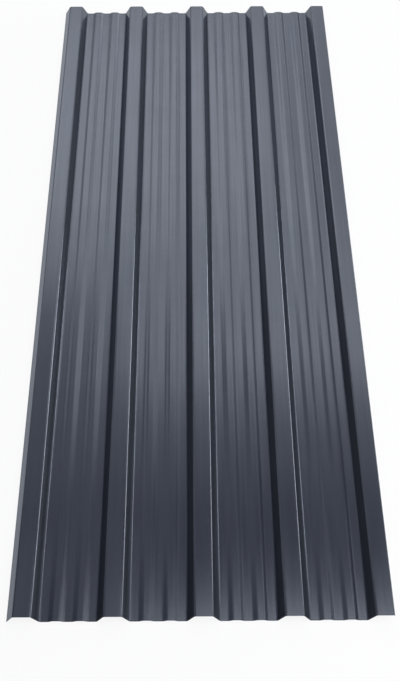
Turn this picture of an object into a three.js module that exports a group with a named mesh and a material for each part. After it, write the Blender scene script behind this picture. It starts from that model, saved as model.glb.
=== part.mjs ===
// Trapezoidal roofing and cladding sheet, roll formed in one piece from coated steel strip.
//
// Millimetres, +Z up. The sheet lies on its pans with its ribs along Y, and the origin is on
// the floor under the middle of the sheet. The left edge (-X) ends in a rib flank with a small
// foot, which laps over the neighbouring sheet. The right edge (+X) ends in a lip turned down
// off the last crest, which the next sheet covers.

import * as THREE from 'three';

// The whole sheet
const sheetLength = 2000;
const sheetThickness = 0.5;
const profileDepth = 27;        // underside of a pan to the top of a crest

// Ribs. Widths are between bend points, and radii are to the middle of the thickness.
const ribCount = 5;
const ribPitch = 190;
const crestWidth = 38;
const ribFlankRun = 15.5;       // sideways run of one flank, foot to crest
const ribBendRadius = 4;

// Swages, the shallow stiffening ribs rolled into each pan
const swagesPerPan = 2;
const swageSpacing = 51;        // centre to centre
const swageHeight = 4;
const swageTopWidth = 14.5;
const swageFlankRun = 9;
const swageBendRadius = 12;

// Long edges
const lapFootLift = 3;          // how far the left edge stops short of pan level
const lapFootRun = 1.4;         // how far its foot turns out level
const lapFootBendRadius = 1.2;
const lastCrestWidth = 37;      // the covered crest is narrower, so that the lap goes over it
const lipRun = 1;               // sideways reach of the lip beyond the last crest
const lipDrop = 4;              // how far the lip turns down
const lipBendRadius = 2;

// Each bend is drawn with twice this many flats.
const bendDivisions = 4;

// Levels of the sheet's middle line
const panLevel = sheetThickness / 2;
const crestLevel = profileDepth - sheetThickness / 2;
const swageLevel = panLevel + swageHeight;

const coatedSteel = new THREE.MeshStandardMaterial({
  name: 'coated_steel',
  color: 0x4a4e57,
  metalness: 0.0,
  roughness: 0.45,
});

function corner(x, z, radius) {
  return { point: new THREE.Vector2(x, z), radius };
}

// A trapezoid standing on panLevel: foot, top, top, foot, from left to right.
function trapezoidCorners(centreX, topWidth, flankRun, topLevel, radius) {
  const halfTop = topWidth / 2;
  const halfBase = halfTop + flankRun;
  return [
    corner(centreX - halfBase, panLevel, radius),
    corner(centreX - halfTop, topLevel, radius),
    corner(centreX + halfTop, topLevel, radius),
    corner(centreX + halfBase, panLevel, radius),
  ];
}

function ribCorners(centreX) {
  return trapezoidCorners(centreX, crestWidth, ribFlankRun, crestLevel, ribBendRadius);
}

function swageCorners(centreX) {
  return trapezoidCorners(centreX, swageTopWidth, swageFlankRun, swageLevel, swageBendRadius);
}

// Positions of count things at an even spacing, centred on middle.
function evenlySpaced(count, spacing, middle) {
  return Array.from({ length: count }, (_, index) => middle + (index - (count - 1) / 2) * spacing);
}

// The middle line of the section, edge to edge, with a bend radius at each corner.
function sectionCorners() {
  const corners = [];
  const ribs = evenlySpaced(ribCount, ribPitch, 0);
  ribs.forEach((ribX, index) => {
    corners.push(...ribCorners(ribX));
    if (index < ribs.length - 1) {
      const panMiddle = ribX + ribPitch / 2;
      for (const swageX of evenlySpaced(swagesPerPan, swageSpacing, panMiddle)) {
        corners.push(...swageCorners(swageX));
      }
    }
  });
  return withLongEdges(corners);
}

// Swaps the outermost foot at each side for the lap foot on the left and the lip on the right.
function withLongEdges(corners) {
  const inner = corners.slice(1, -2);
  const firstCrest = inner[0].point;
  const lastCrest = inner[inner.length - 1].point;
  const flankRise = crestLevel - panLevel;
  const footX = firstCrest.x - ribFlankRun * (1 - lapFootLift / flankRise);
  const footLevel = panLevel + lapFootLift;
  const lipX = lastCrest.x + lastCrestWidth;
  return [
    corner(footX - lapFootRun, footLevel, 0),
    corner(footX, footLevel, lapFootBendRadius),
    ...inner,
    corner(lipX, crestLevel, lipBendRadius),
    corner(lipX + lipRun, crestLevel - lipDrop, 0),
  ];
}

function leftNormal(direction) {
  return new THREE.Vector2(-direction.y, direction.x);
}

function directionBetween(from, to) {
  return to.point.clone().sub(from.point).normalize();
}

// The arc that rounds one corner of the middle line. side is 1 where the sheet bends up and
// -1 where it bends down.
function bendArc(before, at, after) {
  const arriving = directionBetween(before, at);
  const leaving = directionBetween(at, after);
  const turn = Math.asin(arriving.cross(leaving));
  const side = Math.sign(turn);
  const setback = at.radius * Math.tan(Math.abs(turn) / 2);
  const start = at.point.clone().addScaledVector(arriving, -setback);
  const centre = start.clone().addScaledVector(leftNormal(arriving), side * at.radius);
  const startAngle = leftNormal(arriving).multiplyScalar(-side).angle();
  return { centre, radius: at.radius, side, startAngle, endAngle: startAngle + turn };
}

// The outline of the strip: its top face from left to right, then its underside back again.
// Both faces keep half a thickness from the middle line, so their bends share a centre.
function sectionShape() {
  const half = sheetThickness / 2;
  const corners = sectionCorners();
  const bends = corners
    .slice(1, -1)
    .map((at, index) => bendArc(corners[index], at, corners[index + 2]));
  const first = corners[0].point;
  const last = corners[corners.length - 1].point;
  const firstNormal = leftNormal(directionBetween(corners[0], corners[1]));
  const beforeLast = corners[corners.length - 2];
  const lastNormal = leftNormal(directionBetween(beforeLast, corners[corners.length - 1]));

  const shape = new THREE.Shape();
  const moveOn = (point, normal, offset) => {
    const at = point.clone().addScaledVector(normal, offset);
    shape.lineTo(at.x, at.y);
  };
  const start = first.clone().addScaledVector(firstNormal, -half);
  shape.moveTo(start.x, start.y);
  moveOn(first, firstNormal, half);
  for (const { centre, radius, side, startAngle, endAngle } of bends) {
    shape.absarc(centre.x, centre.y, radius - side * half, startAngle, endAngle, side < 0);
  }
  moveOn(last, lastNormal, half);
  moveOn(last, lastNormal, -half);
  for (const { centre, radius, side, startAngle, endAngle } of [...bends].reverse()) {
    shape.absarc(centre.x, centre.y, radius + side * half, endAngle, startAngle, side > 0);
  }
  shape.closePath();
  return shape;
}

// Extrudes the section along Y and stands it on the floor, centred on the origin.
function sheetGeometry() {
  const geometry = new THREE.ExtrudeGeometry(sectionShape(), {
    depth: sheetLength,
    bevelEnabled: false,
    curveSegments: bendDivisions,
  });
  geometry.rotateX(Math.PI / 2);
  geometry.computeBoundingBox();
  const { min, max } = geometry.boundingBox;
  geometry.translate(-(min.x + max.x) / 2, -(min.y + max.y) / 2, -min.z);
  return geometry;
}

const sheet = new THREE.Mesh(sheetGeometry(), coatedSteel);
sheet.name = 'profiled_sheet';

const part = new THREE.Group();
part.name = 'trapezoidal_sheet';
part.add(sheet);

export default part;
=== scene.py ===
"""Trapezoidal cladding sheet: coated steel, roll formed, lying on a studio floor.

Everything is in metres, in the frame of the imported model: the sheet lies on its pans with
its ribs along Y, and the origin is on the floor under its middle.
"""

import math

import bpy
from mathutils import Matrix, Vector, noise


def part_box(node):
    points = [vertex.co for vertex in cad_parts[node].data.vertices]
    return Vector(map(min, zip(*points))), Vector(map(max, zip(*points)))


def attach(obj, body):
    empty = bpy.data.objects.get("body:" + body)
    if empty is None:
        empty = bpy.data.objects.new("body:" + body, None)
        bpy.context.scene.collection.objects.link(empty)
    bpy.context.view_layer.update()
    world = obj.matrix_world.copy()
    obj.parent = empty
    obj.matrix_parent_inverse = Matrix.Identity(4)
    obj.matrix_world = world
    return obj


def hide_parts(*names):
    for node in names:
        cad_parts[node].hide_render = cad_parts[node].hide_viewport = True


bl_info = {
    "name": "Trapezoidal Sheet",
    "version": (1, 0, 0),
    "blender": (4, 5, 0),
    "location": "3D View > Sidebar > Sheet",
    "description": "Builds a coated trapezoidal steel sheet and the studio that it is shown in",
    "category": "Object",
}

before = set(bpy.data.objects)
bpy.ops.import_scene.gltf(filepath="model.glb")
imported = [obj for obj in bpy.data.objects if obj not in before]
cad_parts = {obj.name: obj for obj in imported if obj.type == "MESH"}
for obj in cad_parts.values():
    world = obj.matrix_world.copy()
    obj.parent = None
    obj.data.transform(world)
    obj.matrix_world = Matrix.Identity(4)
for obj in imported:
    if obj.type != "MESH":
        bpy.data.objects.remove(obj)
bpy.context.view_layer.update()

SHEET_NODE = "profiled_sheet"
BODY = "root"
MM = 0.001

SHEET_LOW, SHEET_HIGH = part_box(SHEET_NODE)


def linear_colour(hex_code):
    """An sRGB hex colour such as "#3a3e49" as linear red, green and blue."""
    parts = [int(hex_code[at:at + 2], 16) / 255 for at in (1, 3, 5)]
    return tuple(c / 12.92 if c <= 0.04045 else ((c + 0.055) / 1.055) ** 2.4 for c in parts)


# ---------------------------------------------------------------- what a user would change


class SheetSettings(bpy.types.PropertyGroup):
    """Sizes and colours of the sheet. Widths are between bend points of the middle line."""

    length: bpy.props.FloatProperty(
        name="Length",
        description="Along the ribs",
        default=SHEET_HIGH.y - SHEET_LOW.y,
        unit="LENGTH",
    )
    thickness: bpy.props.FloatProperty(
        name="Thickness",
        description="Of the steel with its coatings",
        default=0.5 * MM,
        unit="LENGTH",
    )
    depth: bpy.props.FloatProperty(
        name="Depth",
        description="From the underside of a pan to the top of a crest",
        default=SHEET_HIGH.z - SHEET_LOW.z,
        unit="LENGTH",
    )
    rib_count: bpy.props.IntProperty(
        name="Ribs",
        description="Full-height ribs",
        default=5,
        min=2,
    )
    rib_pitch: bpy.props.FloatProperty(
        name="Rib pitch",
        description="Crest centre to crest centre",
        default=190 * MM,
        unit="LENGTH",
    )
    crest_width: bpy.props.FloatProperty(
        name="Crest width",
        description="Flat top of a rib",
        default=38 * MM,
        unit="LENGTH",
    )
    rib_flank_run: bpy.props.FloatProperty(
        name="Rib flank run",
        description="Sideways run of one flank",
        default=15.5 * MM,
        unit="LENGTH",
    )
    rib_bend_radius: bpy.props.FloatProperty(
        name="Rib bend radius",
        description="At crest and foot",
        default=6 * MM,
        unit="LENGTH",
    )
    swage_count: bpy.props.IntProperty(
        name="Swages",
        description="Shallow stiffening ribs in each pan",
        default=2,
        min=0,
    )
    swage_spacing: bpy.props.FloatProperty(
        name="Swage spacing",
        description="Centre to centre",
        default=51 * MM,
        unit="LENGTH",
    )
    swage_height: bpy.props.FloatProperty(
        name="Swage height",
        description="Above the pan",
        default=4 * MM,
        unit="LENGTH",
    )
    swage_top_width: bpy.props.FloatProperty(
        name="Swage top width",
        description="Flat top of a swage",
        default=14.5 * MM,
        unit="LENGTH",
    )
    swage_flank_run: bpy.props.FloatProperty(
        name="Swage flank run",
        description="Sideways run of one flank",
        default=9 * MM,
        unit="LENGTH",
    )
    swage_bend_radius: bpy.props.FloatProperty(
        name="Swage bend radius",
        description="At swage top and foot",
        default=12 * MM,
        unit="LENGTH",
    )
    lap_foot_lift: bpy.props.FloatProperty(
        name="Lap foot lift",
        description="How far above a pan the left flank stops",
        default=3 * MM,
        unit="LENGTH",
    )
    lap_foot_run: bpy.props.FloatProperty(
        name="Lap foot run",
        description="How far the left edge turns out",
        default=1.2 * MM,
        unit="LENGTH",
    )
    lap_foot_drop: bpy.props.FloatProperty(
        name="Lap foot drop",
        description="How far it slopes down over its run",
        default=1.3 * MM,
        unit="LENGTH",
    )
    lap_foot_bend_radius: bpy.props.FloatProperty(
        name="Lap foot bend radius",
        description="Between the left flank and its foot",
        default=1.2 * MM,
        unit="LENGTH",
    )
    last_crest_width: bpy.props.FloatProperty(
        name="Last crest width",
        description="Flat top of the rib that the next sheet laps",
        default=37 * MM,
        unit="LENGTH",
    )
    lip_run: bpy.props.FloatProperty(
        name="Lip run",
        description="Sideways reach beyond the last crest",
        default=1 * MM,
        unit="LENGTH",
    )
    lip_drop: bpy.props.FloatProperty(
        name="Lip drop",
        description="How far the lip turns down",
        default=4 * MM,
        unit="LENGTH",
    )
    lip_bend_radius: bpy.props.FloatProperty(
        name="Lip bend radius",
        description="Between the last crest and the lip",
        default=2 * MM,
        unit="LENGTH",
    )
    waviness: bpy.props.FloatProperty(
        name="Waviness",
        description="Height of the slow waves that rolling leaves",
        default=0.15 * MM,
        unit="LENGTH",
    )
    paint: bpy.props.FloatVectorProperty(
        name="Top coat",
        description="Weather side",
        subtype="COLOR",
        size=3,
        default=linear_colour("#5a5e65"),
    )
    backing: bpy.props.FloatVectorProperty(
        name="Backing coat",
        description="Underside",
        subtype="COLOR",
        size=3,
        default=linear_colour("#8d9093"),
    )
    zinc: bpy.props.FloatVectorProperty(
        name="Cut edge",
        description="Bare steel and zinc",
        subtype="COLOR",
        size=3,
        default=linear_colour("#b4b7ba"),
    )


class StudioSettings(bpy.types.PropertyGroup):
    """The floor, the room and the lens."""

    floor_size: bpy.props.FloatProperty(
        name="Floor size",
        description="Side of the square floor",
        default=30.0,
        unit="LENGTH",
    )
    floor: bpy.props.FloatVectorProperty(
        name="Floor",
        description="Matt white floor",
        subtype="COLOR",
        size=3,
        default=linear_colour("#ebebeb"),
    )
    wall: bpy.props.FloatVectorProperty(
        name="Wall",
        description="White wall round the studio",
        subtype="COLOR",
        size=3,
        default=linear_colour("#ffffff"),
    )
    ceiling: bpy.props.FloatVectorProperty(
        name="Ceiling",
        description="Dark blue ceiling over the softboxes",
        subtype="COLOR",
        size=3,
        default=linear_colour("#0a2755"),
    )
    near_ceiling: bpy.props.FloatVectorProperty(
        name="Near ceiling",
        description="Paler ceiling over the near side of the studio",
        subtype="COLOR",
        size=3,
        default=linear_colour("#c4c7cb"),
    )
    focal_length: bpy.props.FloatProperty(
        name="Focal length",
        description="On a 36 mm frame",
        default=57.82,
        subtype="DISTANCE_CAMERA",
    )


# ---------------------------------------------------------------- node helpers

# Sockets of a Mix node that mixes colours, which share their names with hidden ones.
FACTOR = 0
COLOUR_A = 6
COLOUR_B = 7
MIXED = 2

# A noise stays mostly between these.
NOISE_LOW = 0.3
NOISE_HIGH = 0.7


def add_node(tree, kind, values=None, links=None, **settings):
    """Adds a node with its settings, its input values and the links into it."""
    node = tree.nodes.new(kind)
    for name, value in settings.items():
        setattr(node, name, value)
    for name, value in (values or {}).items():
        node.inputs[name].default_value = value
    for name, socket in (links or {}).items():
        tree.links.new(socket, node.inputs[name])
    return node


def opaque(colour):
    """A colour with the fourth number that colour sockets take."""
    return (*colour, 1.0)


def scaled(colour, share):
    """A paler or darker colour of the same hue."""
    return tuple(min(1.0, part * share) for part in colour)


def noise_range(low, high):
    """Map Range values that spread a noise from low to high."""
    return {"From Min": NOISE_LOW, "From Max": NOISE_HIGH, "To Min": low, "To Max": high}


def lengthwise_noise(tree, place, across, along, detail, roughness):
    """Noise drawn out along the sheet, with streaks of the given width and length."""
    stretched = add_node(
        tree,
        "ShaderNodeMapping",
        values={"Scale": (1 / across, 1 / along, 1 / across)},
        links={"Vector": place},
    )
    streaks = add_node(
        tree,
        "ShaderNodeTexNoise",
        values={"Scale": 1.0, "Detail": detail, "Roughness": roughness},
        links={"Vector": stretched.outputs["Vector"]},
    )
    return streaks.outputs["Fac"]


def empty_material(name):
    """A node material with nothing in it yet."""
    material = bpy.data.materials.new(name)
    material.use_nodes = True
    material.node_tree.nodes.clear()
    return material


# ---------------------------------------------------------------- section of the sheet

BEND_STEPS = 6
WIDEST_STRIP = 12 * MM


def left_normal(direction):
    """The direction turned a quarter to the left, which is up off the sheet's top face."""
    return Vector((-direction.y, direction.x))


def trapezoid(centre, top_width, flank_run, foot_level, top_level, radius):
    """Foot, top, top and foot of a rib or swage, from left to right."""
    half_top = top_width / 2
    half_base = half_top + flank_run
    return [
        (Vector((centre - half_base, foot_level)), radius),
        (Vector((centre - half_top, top_level)), radius),
        (Vector((centre + half_top, top_level)), radius),
        (Vector((centre + half_base, foot_level)), radius),
    ]


def spaced(count, spacing, middle):
    """Positions of count things at an even spacing, centred on middle."""
    return [middle + (index - (count - 1) / 2) * spacing for index in range(count)]


def section_corners(sheet):
    """Corners of the middle line with their bend radii, from the lap edge to the lip."""
    pan = sheet.thickness / 2
    crest = sheet.depth - sheet.thickness / 2
    corners = []
    ribs = spaced(sheet.rib_count, sheet.rib_pitch, 0.0)
    for rib in ribs:
        corners += trapezoid(
            rib,
            sheet.crest_width,
            sheet.rib_flank_run,
            pan,
            crest,
            sheet.rib_bend_radius,
        )
        if rib == ribs[-1]:
            break
        for swage in spaced(sheet.swage_count, sheet.swage_spacing, rib + sheet.rib_pitch / 2):
            corners += trapezoid(
                swage,
                sheet.swage_top_width,
                sheet.swage_flank_run,
                pan,
                pan + sheet.swage_height,
                sheet.swage_bend_radius,
            )
    first_crest = corners[1][0]
    last_crest = corners[-3][0]
    flank_share = 1 - sheet.lap_foot_lift / (crest - pan)
    foot = Vector((first_crest.x - sheet.rib_flank_run * flank_share, pan + sheet.lap_foot_lift))
    lap_edge = foot - Vector((sheet.lap_foot_run, sheet.lap_foot_drop))
    lip = last_crest + Vector((sheet.last_crest_width, 0.0))
    lip_edge = lip + Vector((sheet.lip_run, -sheet.lip_drop))
    lap = [(lap_edge, 0.0), (foot, sheet.lap_foot_bend_radius)]
    return lap + corners[1:-2] + [(lip, sheet.lip_bend_radius), (lip_edge, 0.0)]


def middle_line(sheet):
    """Points of the section's middle line with the normal at each, bends drawn as arcs."""
    corners = section_corners(sheet)
    line = []

    def run_to(point, normal):
        """Adds a flat up to point, in strips no wider than WIDEST_STRIP."""
        if line:
            start = line[-1][0]
            strips = max(1, math.ceil((point - start).length / WIDEST_STRIP))
            for step in range(1, strips):
                line.append((start.lerp(point, step / strips), normal))
        line.append((point, normal))

    first = (corners[1][0] - corners[0][0]).normalized()
    run_to(corners[0][0], left_normal(first))
    for (before, _), (at, radius), (after, _) in zip(corners, corners[1:], corners[2:]):
        arriving = (at - before).normalized()
        leaving = (after - at).normalized()
        turn = math.asin(arriving.x * leaving.y - arriving.y * leaving.x)
        side = math.copysign(1.0, turn)
        start = at - arriving * radius * math.tan(abs(turn) / 2)
        start_normal = left_normal(arriving)
        centre = start + start_normal * side * radius
        run_to(start, start_normal)
        for step in range(1, BEND_STEPS + 1):
            normal = Matrix.Rotation(turn * step / BEND_STEPS, 2) @ start_normal
            line.append((centre - normal * side * radius, normal))
    last = (corners[-1][0] - corners[-2][0]).normalized()
    run_to(corners[-1][0], left_normal(last))
    return line


# ---------------------------------------------------------------- sheet mesh

# Material slots
COAT, BACKING, CUT = range(3)

# Rows of faces from end to end
ROWS = 64

# Waves left by the rollers: their length along the sheet, how many times narrower they are
# across it, and the slice of the noise that they are taken from.
WAVE_LENGTH = 0.32
WAVE_STRETCH = 2.2
WAVE_SLICE = 7.3


def wave(x, y):
    """Slow waves of a rolled sheet, from 0 to 1."""
    place = Vector((x / WAVE_LENGTH * WAVE_STRETCH, y / WAVE_LENGTH, WAVE_SLICE))
    return min(1.0, max(0.0, 0.5 + 0.5 * noise.noise(place, noise_basis="PERLIN_ORIGINAL")))


def sheet_vertices(sheet, line):
    """Rows of vertices from the near end to the far end, each with its top face first."""
    half = sheet.thickness / 2
    top = [point + normal * half for point, normal in line]
    under = [point - normal * half for point, normal in line]
    across = [p.x for p in top + under]
    shift = -(min(across) + max(across)) / 2
    lowest = min(p.y for p in top + under)
    highest = max(p.y for p in top + under)

    vertices = []
    for row in range(ROWS + 1):
        y = sheet.length * (row / ROWS - 0.5)
        for side in (top, under):
            for (middle, _), point in zip(line, side):
                height = (middle.y - lowest) / (highest - lowest)
                # Pans wave upwards and crests downwards, so the sheet keeps its box.
                lift = sheet.waviness * wave(middle.x, y) * (1 - 2 * height)
                vertices.append((point.x + shift, y, point.y - lowest + lift))
    return vertices


def sheet_faces(count):
    """Faces and their material slots, for rows of count vertices on either side."""
    stride = 2 * count
    faces = []
    materials = []

    def add(face, material):
        faces.append(face)
        materials.append(material)

    for row in range(ROWS):
        here = row * stride
        there = here + stride
        for index in range(count - 1):
            add((here + index, here + index + 1, there + index + 1, there + index), COAT)
            low_here = here + count + index
            low_there = there + count + index
            add((low_here + 1, low_here, low_there, low_there + 1), BACKING)
        add((here + count, here, there, there + count), CUT)
        add((here + count - 1, here + stride - 1, there + stride - 1, there + count - 1), CUT)
    for near in range(count - 1):
        add((near + 1, near, near + count, near + count + 1), CUT)
        far = ROWS * stride + near
        add((far, far + 1, far + count + 1, far + count), CUT)
    return faces, materials


def build_sheet_mesh(sheet):
    """The strip as one closed mesh: coated face, backed face and the cut edges round it."""
    line = middle_line(sheet)
    faces, materials = sheet_faces(len(line))
    mesh = bpy.data.meshes.new("cladding_sheet")
    mesh.from_pydata(sheet_vertices(sheet, line), [], faces)
    mesh.polygons.foreach_set("material_index", materials)
    mesh.polygons.foreach_set("use_smooth", [material != CUT for material in materials])
    if mesh.validate():
        raise RuntimeError("The sheet's mesh had faulty faces")
    mesh.update()
    return mesh


# ---------------------------------------------------------------- finishes of the sheet

# Top coat: its share of metal flakes and their tint, its roughness from glossy to dull, the
# strength of its paint lines, and how pale dust is and how much of it lies on the paint.
FLAKE_SHARE = 0.85
FLAKE_TINT = linear_colour("#e0e4ed")
GLOSSY = 0.20
DULL = 0.23
LEAN_LINE = 0.94
FULL_LINE = 1.06
DUST_PALENESS = 1.6
MOST_DUST = 0.12

# Backing coat: the colour of its thinnest streaks and how far they go towards it.
THIN_BACKING = 0.75
MOST_THINNING = 0.3


def coil_coating(sheet):
    """Polyester coil coating with fine metal pigment, oven cured on the strip before rolling.

    The flakes lie flat in the paint. They give a dark blue-grey that mirrors the room softly,
    pale under a light and near black beside it, with a faint orange peel and fine lines
    along the sheet where it ran over the rollers.
    """
    material = empty_material("polyester_coil_coating")
    tree = material.node_tree
    place = add_node(tree, "ShaderNodeTexCoord").outputs["Object"]
    # Roller streaks in the gloss: 9 mm across and half a metre long.
    streaks = lengthwise_noise(tree, place, 9 * MM, 500 * MM, detail=2.0, roughness=0.5)
    gloss = add_node(
        tree,
        "ShaderNodeMapRange",
        values=noise_range(GLOSSY, DULL),
        links={"Value": streaks},
    )
    # Lines of pigment that the coating rollers leave. Real ones are about 1 mm across, too
    # fine to show, so they are drawn 5 mm across and 0.4 m long.
    lines = lengthwise_noise(tree, place, 5 * MM, 400 * MM, detail=1.0, roughness=0.6)
    line_tone = add_node(
        tree,
        "ShaderNodeMapRange",
        values=noise_range(0.0, 1.0),
        links={"Value": lines},
    )
    lined = add_node(
        tree,
        "ShaderNodeMix",
        data_type="RGBA",
        values={
            COLOUR_A: opaque(scaled(sheet.paint, LEAN_LINE)),
            COLOUR_B: opaque(scaled(sheet.paint, FULL_LINE)),
        },
        links={FACTOR: line_tone.outputs["Result"]},
    )
    # Patches of handling film and dust, about 120 mm across.
    patches = add_node(
        tree,
        "ShaderNodeTexNoise",
        values={"Scale": 1 / (120 * MM), "Detail": 3.0, "Roughness": 0.6},
        links={"Vector": place},
    )
    dust = add_node(
        tree,
        "ShaderNodeMapRange",
        values=noise_range(0.0, MOST_DUST),
        links={"Value": patches.outputs["Fac"]},
    )
    colour = add_node(
        tree,
        "ShaderNodeMix",
        data_type="RGBA",
        values={COLOUR_B: opaque(scaled(sheet.paint, DUST_PALENESS))},
        links={FACTOR: dust.outputs["Result"], COLOUR_A: lined.outputs[MIXED]},
    )
    # Orange peel of the cured paint: cells of about 1.5 mm, up to 10 micrometres high.
    peel = add_node(
        tree,
        "ShaderNodeTexNoise",
        values={"Scale": 1 / (1.5 * MM), "Detail": 1.0},
        links={"Vector": place},
    )
    bump = add_node(
        tree,
        "ShaderNodeBump",
        values={"Strength": 0.25, "Distance": 0.01 * MM},
        links={"Height": peel.outputs["Fac"]},
    )
    # Mostly metal for the flakes. The tint keeps the mirror blue-grey at grazing angles.
    shader = add_node(
        tree,
        "ShaderNodeBsdfPrincipled",
        values={"IOR": 1.5, "Metallic": FLAKE_SHARE, "Specular Tint": opaque(FLAKE_TINT)},
        links={
            "Base Color": colour.outputs[MIXED],
            "Roughness": gloss.outputs["Result"],
            "Normal": bump.outputs["Normal"],
        },
    )
    add_node(tree, "ShaderNodeOutputMaterial", links={"Surface": shader.outputs["BSDF"]})
    return material


def backing_lacquer(sheet):
    """Thin grey epoxy lacquer rolled on the underside. Matt, with faint roller streaks."""
    material = empty_material("epoxy_backing_lacquer")
    tree = material.node_tree
    place = add_node(tree, "ShaderNodeTexCoord").outputs["Object"]
    # Roller streaks: 6 mm across and 0.4 m long.
    streaks = lengthwise_noise(tree, place, 6 * MM, 400 * MM, detail=3.0, roughness=0.5)
    thinning = add_node(
        tree,
        "ShaderNodeMapRange",
        values=noise_range(0.0, MOST_THINNING),
        links={"Value": streaks},
    )
    colour = add_node(
        tree,
        "ShaderNodeMix",
        data_type="RGBA",
        values={
            COLOUR_A: opaque(sheet.backing),
            COLOUR_B: opaque(scaled(sheet.backing, THIN_BACKING)),
        },
        links={FACTOR: thinning.outputs["Result"]},
    )
    shader = add_node(
        tree,
        "ShaderNodeBsdfPrincipled",
        values={"IOR": 1.5, "Metallic": 0.0, "Roughness": 0.55},
        links={"Base Color": colour.outputs[MIXED]},
    )
    add_node(tree, "ShaderNodeOutputMaterial", links={"Surface": shader.outputs["BSDF"]})
    return material


def cut_edge(sheet):
    """Sheared galvanised steel at the edges: a bright, slightly torn line of bare metal."""
    material = empty_material("sheared_galvanised_steel")
    tree = material.node_tree
    place = add_node(tree, "ShaderNodeTexCoord").outputs["Object"]
    # Shear marks: about 0.8 mm apart, up to 50 micrometres deep.
    marks = add_node(
        tree,
        "ShaderNodeTexNoise",
        values={"Scale": 1 / (0.8 * MM), "Detail": 2.0},
        links={"Vector": place},
    )
    roughness = add_node(
        tree,
        "ShaderNodeMapRange",
        values=noise_range(0.3, 0.5),
        links={"Value": marks.outputs["Fac"]},
    )
    bump = add_node(
        tree,
        "ShaderNodeBump",
        values={"Strength": 0.4, "Distance": 0.05 * MM},
        links={"Height": marks.outputs["Fac"]},
    )
    shader = add_node(
        tree,
        "ShaderNodeBsdfPrincipled",
        values={"Base Color": opaque(sheet.zinc), "Metallic": 1.0},
        links={"Roughness": roughness.outputs["Result"], "Normal": bump.outputs["Normal"]},
    )
    add_node(tree, "ShaderNodeOutputMaterial", links={"Surface": shader.outputs["BSDF"]})
    return material


class SHEET_OT_add_sheet(bpy.types.Operator):
    """Add the coated trapezoidal sheet in place of the plain one"""

    bl_idname = "sheet.add_sheet"
    bl_label = "Add Trapezoidal Sheet"
    bl_options = {"REGISTER", "UNDO"}

    def execute(self, context):
        sheet = context.scene.sheet_settings
        piece = bpy.data.objects.new("cladding_sheet", build_sheet_mesh(sheet))
        context.scene.collection.objects.link(piece)
        for material in (coil_coating(sheet), backing_lacquer(sheet), cut_edge(sheet)):
            piece.data.materials.append(material)
        # Wide flats keep their own normals, and the narrow bends take up the turn.
        weighted = piece.modifiers.new("flat_normals", "WEIGHTED_NORMAL")
        weighted.mode = "FACE_AREA"
        weighted.weight = 50
        weighted.keep_sharp = True
        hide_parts(SHEET_NODE)
        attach(piece, BODY)
        return {"FINISHED"}


# ---------------------------------------------------------------- studio

# How white the floor shows near the sheet, and the distances from the middle of the sheet
# between which it turns fully white.
FLOOR_WHITENESS = 0.88
WHITER_FROM = 1.0
WHITE_FROM = 4.0

# Elevations between which the wall turns into the ceiling
WALL_TOP = math.radians(8)
CEILING_EDGE = math.radians(16)

# How far a direction points away from the far side where the near ceiling starts and is full
NEAR_SIDE_START = -0.2
NEAR_SIDE_FULL = -0.6

# Softboxes hung level over the studio: name, left, right, near, far, height, radiance.
# Boxes that overlap hang at different heights, so that the sheet mirrors both.
BANK = (
    ("key", -2.6, 0.5, 2.3, 4.4, 2.50, 1.87),
    ("key_right", 0.5, 1.3, 2.3, 5.0, 2.50, 0.97),
    ("right", 1.3, 2.9, 1.8, 5.0, 2.50, 1.35),
    ("far_right", 2.9, 4.6, 1.8, 5.4, 2.50, 0.38),
    ("left", -4.1, -2.6, 1.75, 7.6, 2.50, 1.17),
    ("far", -2.6, 2.3, 5.0, 7.0, 2.52, 1.95),
    ("near", -0.45, 1.3, 1.2, 2.3, 2.52, 1.25),
    ("near_left", -1.7, -0.45, 1.75, 2.3, 2.50, 1.32),
    ("near_right", 1.3, 2.5, 1.2, 1.8, 2.50, 0.95),
    ("front", -4.4, 1.4, 0.6, 1.6, 2.50, 0.37),
    ("overhead", -0.2, 1.4, -1.8, -0.1, 2.50, 2.95),
    ("overhead_right", 1.4, 3.0, -1.8, -0.1, 2.50, 5.0),
    ("overhead_edge", 1.4, 2.7, -0.1, 0.5, 2.50, 0.75),
    ("overhead_left", -2.2, -0.2, -1.2, 0.5, 2.50, 0.3),
)

# Upright softboxes: name, place of the middle, point it faces, width and height, radiance.
PANELS = (
    ("side_near", (6.06, 2.6, 1.2), (0.0, 2.6, 1.2), (2.0, 1.4), 5.8),
    ("side_far", (6.06, 4.5, 1.2), (0.0, 4.5, 1.2), (1.8, 1.4), 12.0),
    ("side_high", (6.06, 2.2, 2.7), (0.0, 2.2, 2.7), (2.6, 1.6), 2.2),
    ("backdrop", (1.8, 6.7, 2.92), (0.0, 0.0, 2.92), (7.4, 1.3), 0.89),
)

# The camera stands near the near end, a little left of the middle, and looks down.
CAMERA_PLACE = (-0.02085, -1.855, 2.2208)
CAMERA_DOWN = math.radians(53.7)
CAMERA_TURN = math.radians(-0.462)
CAMERA_ROLL = math.radians(0.129)
CAMERA_SHIFT = (0.0085, -0.0253)
CAMERA_REACH = 100.0
FRAME_WIDTH_MM = 36.0


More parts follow.
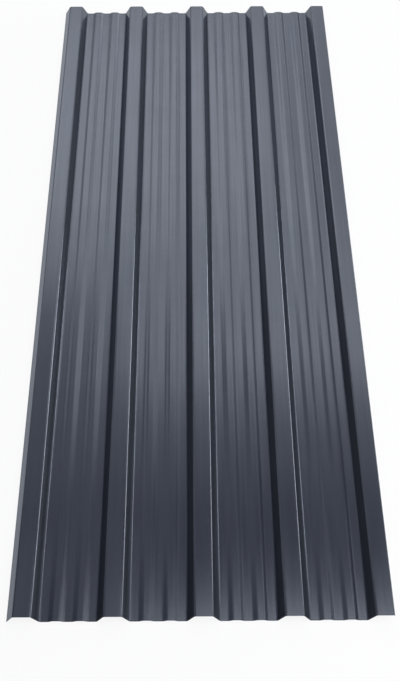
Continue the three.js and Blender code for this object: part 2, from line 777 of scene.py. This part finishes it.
def matt_floor(studio):
    """Matt white studio floor that shows as white and keeps the shadow under the sheet.

    Camera, glossy and transmission rays see mostly white, and nothing but white far out,
    so that the floor runs into the white wall without a horizon.
    """
    material = empty_material("matt_white_floor")
    tree = material.node_tree
    rays = add_node(tree, "ShaderNodeLightPath")
    seen = rays.outputs["Is Camera Ray"]
    for kind in ("Is Glossy Ray", "Is Transmission Ray"):
        both = add_node(
            tree,
            "ShaderNodeMath",
            operation="MAXIMUM",
            links={0: seen, 1: rays.outputs[kind]},
        )
        seen = both.outputs["Value"]
    diffuse = add_node(tree, "ShaderNodeBsdfDiffuse", values={"Color": opaque(studio.floor)})
    white = add_node(
        tree,
        "ShaderNodeEmission",
        values={"Color": opaque(linear_colour("#ffffff")), "Strength": 1.0},
    )
    place = add_node(tree, "ShaderNodeTexCoord").outputs["Object"]
    distance = add_node(tree, "ShaderNodeVectorMath", operation="LENGTH", links={0: place})
    whiteness = add_node(
        tree,
        "ShaderNodeMapRange",
        values={
            "From Min": WHITER_FROM,
            "From Max": WHITE_FROM,
            "To Min": FLOOR_WHITENESS,
            "To Max": 1.0,
        },
        links={"Value": distance.outputs["Value"]},
    )
    share = add_node(
        tree,
        "ShaderNodeMath",
        operation="MULTIPLY",
        links={0: seen, 1: whiteness.outputs["Result"]},
    )
    mix = add_node(
        tree,
        "ShaderNodeMixShader",
        links={0: share.outputs["Value"], 1: diffuse.outputs["BSDF"], 2: white.outputs["Emission"]},
    )
    add_node(tree, "ShaderNodeOutputMaterial", links={"Surface": mix.outputs["Shader"]})
    return material


def add_floor(scene, studio):
    """A level square floor at the height that the sheet lies on."""
    half = studio.floor_size / 2
    mesh = bpy.data.meshes.new("studio_floor")
    corners = [(-half, -half, 0.0), (half, -half, 0.0), (half, half, 0.0), (-half, half, 0.0)]
    mesh.from_pydata(corners, [], [(0, 1, 2, 3)])
    mesh.materials.append(matt_floor(studio))
    floor = bpy.data.objects.new("studio_floor", mesh)
    scene.collection.objects.link(floor)


def add_world(scene, studio):
    """White walls with a dark blue ceiling over the softboxes, paler on the near side.

    The near side only shows in the sheet from behind. It takes the place of softboxes there.
    """
    world = bpy.data.worlds.new("studio_room")
    world.use_nodes = True
    tree = world.node_tree
    tree.nodes.clear()
    direction = add_node(tree, "ShaderNodeTexCoord").outputs["Generated"]
    split = add_node(tree, "ShaderNodeSeparateXYZ", links={"Vector": direction})
    overhead = add_node(
        tree,
        "ShaderNodeMapRange",
        interpolation_type="SMOOTHSTEP",
        values={
            "From Min": math.sin(WALL_TOP),
            "From Max": math.sin(CEILING_EDGE),
            "To Min": 0.0,
            "To Max": 1.0,
        },
        links={"Value": split.outputs["Z"]},
    )
    near_side = add_node(
        tree,
        "ShaderNodeMapRange",
        interpolation_type="SMOOTHSTEP",
        values={
            "From Min": NEAR_SIDE_START,
            "From Max": NEAR_SIDE_FULL,
            "To Min": 0.0,
            "To Max": 1.0,
        },
        links={"Value": split.outputs["Y"]},
    )
    ceiling = add_node(
        tree,
        "ShaderNodeMix",
        data_type="RGBA",
        values={COLOUR_A: opaque(studio.ceiling), COLOUR_B: opaque(studio.near_ceiling)},
        links={FACTOR: near_side.outputs["Result"]},
    )
    colour = add_node(
        tree,
        "ShaderNodeMix",
        data_type="RGBA",
        values={COLOUR_A: opaque(studio.wall)},
        links={FACTOR: overhead.outputs["Result"], COLOUR_B: ceiling.outputs[MIXED]},
    )
    background = add_node(
        tree,
        "ShaderNodeBackground",
        values={"Strength": 1.0},
        links={"Color": colour.outputs[MIXED]},
    )
    add_node(tree, "ShaderNodeOutputWorld", links={"Surface": background.outputs["Background"]})
    scene.world = world


def add_softbox(scene, name, location, towards, size, radiance):
    """A rectangular softbox that the camera does not see. Radiance 1 shows as white."""
    light = bpy.data.lights.new(name, "AREA")
    light.shape = "RECTANGLE"
    light.size, light.size_y = size
    light.energy = radiance * math.pi * size[0] * size[1]
    softbox = bpy.data.objects.new(name, light)
    aim = (Vector(towards) - Vector(location)).to_track_quat("-Z", "Y")
    softbox.matrix_world = Matrix.Translation(location) @ aim.to_matrix().to_4x4()
    softbox.visible_camera = False
    scene.collection.objects.link(softbox)


def add_softboxes(scene):
    """The level bank over the sheet, then the upright panels beside and behind it."""
    for name, left, right, near, far, height, radiance in BANK:
        middle = ((left + right) / 2, (near + far) / 2)
        size = (right - left, far - near)
        add_softbox(scene, name, (*middle, height), (*middle, 0.0), size, radiance)
    for name, middle, facing, size, radiance in PANELS:
        add_softbox(scene, name, middle, facing, size, radiance)


def add_camera(scene, studio):
    """Looks down on the sheet from its near end, a little left of its middle."""
    data = bpy.data.cameras.new("camera")
    data.sensor_width = FRAME_WIDTH_MM
    data.lens = studio.focal_length
    data.shift_x, data.shift_y = CAMERA_SHIFT
    data.clip_end = CAMERA_REACH
    camera = bpy.data.objects.new("camera", data)
    look_down = Matrix.Rotation(math.pi / 2 - CAMERA_DOWN, 4, "X")
    turn = Matrix.Rotation(CAMERA_TURN, 4, "Z")
    roll = Matrix.Rotation(CAMERA_ROLL, 4, "Z")
    camera.matrix_world = Matrix.Translation(CAMERA_PLACE) @ turn @ look_down @ roll
    scene.collection.objects.link(camera)
    scene.camera = camera


class SHEET_OT_add_stage(bpy.types.Operator):
    """Add the white floor, the room, the softboxes and the camera"""

    bl_idname = "sheet.add_stage"
    bl_label = "Add Studio"
    bl_options = {"REGISTER", "UNDO"}

    def execute(self, context):
        scene = context.scene
        studio = scene.studio_settings
        add_floor(scene, studio)
        add_world(scene, studio)
        add_softboxes(scene)
        add_camera(scene, studio)
        scene.view_settings.view_transform = "Standard"
        return {"FINISHED"}


class SHEET_PT_panel(bpy.types.Panel):
    """Sizes, colours and the two build buttons"""

    bl_idname = "SHEET_PT_panel"
    bl_label = "Trapezoidal Sheet"
    bl_space_type = "VIEW_3D"
    bl_region_type = "UI"
    bl_category = "Sheet"

    def draw(self, context):
        layout = self.layout
        layout.operator(SHEET_OT_add_sheet.bl_idname)
        layout.operator(SHEET_OT_add_stage.bl_idname)
        for settings in (context.scene.sheet_settings, context.scene.studio_settings):
            box = layout.box()
            for name in settings.bl_rna.properties.keys():
                if name not in {"rna_type", "name"}:
                    box.prop(settings, name)


CLASSES = (
    SheetSettings,
    StudioSettings,
    SHEET_OT_add_sheet,
    SHEET_OT_add_stage,
    SHEET_PT_panel,
)


def register():
    for cls in CLASSES:
        bpy.utils.register_class(cls)
    bpy.types.Scene.sheet_settings = bpy.props.PointerProperty(type=SheetSettings)
    bpy.types.Scene.studio_settings = bpy.props.PointerProperty(type=StudioSettings)


def unregister():
    del bpy.types.Scene.studio_settings
    del bpy.types.Scene.sheet_settings
    for cls in reversed(CLASSES):
        bpy.utils.unregister_class(cls)


def main():
    register()
    bpy.ops.sheet.add_sheet()
    bpy.ops.sheet.add_stage()


if __name__ == "__main__":
    main()
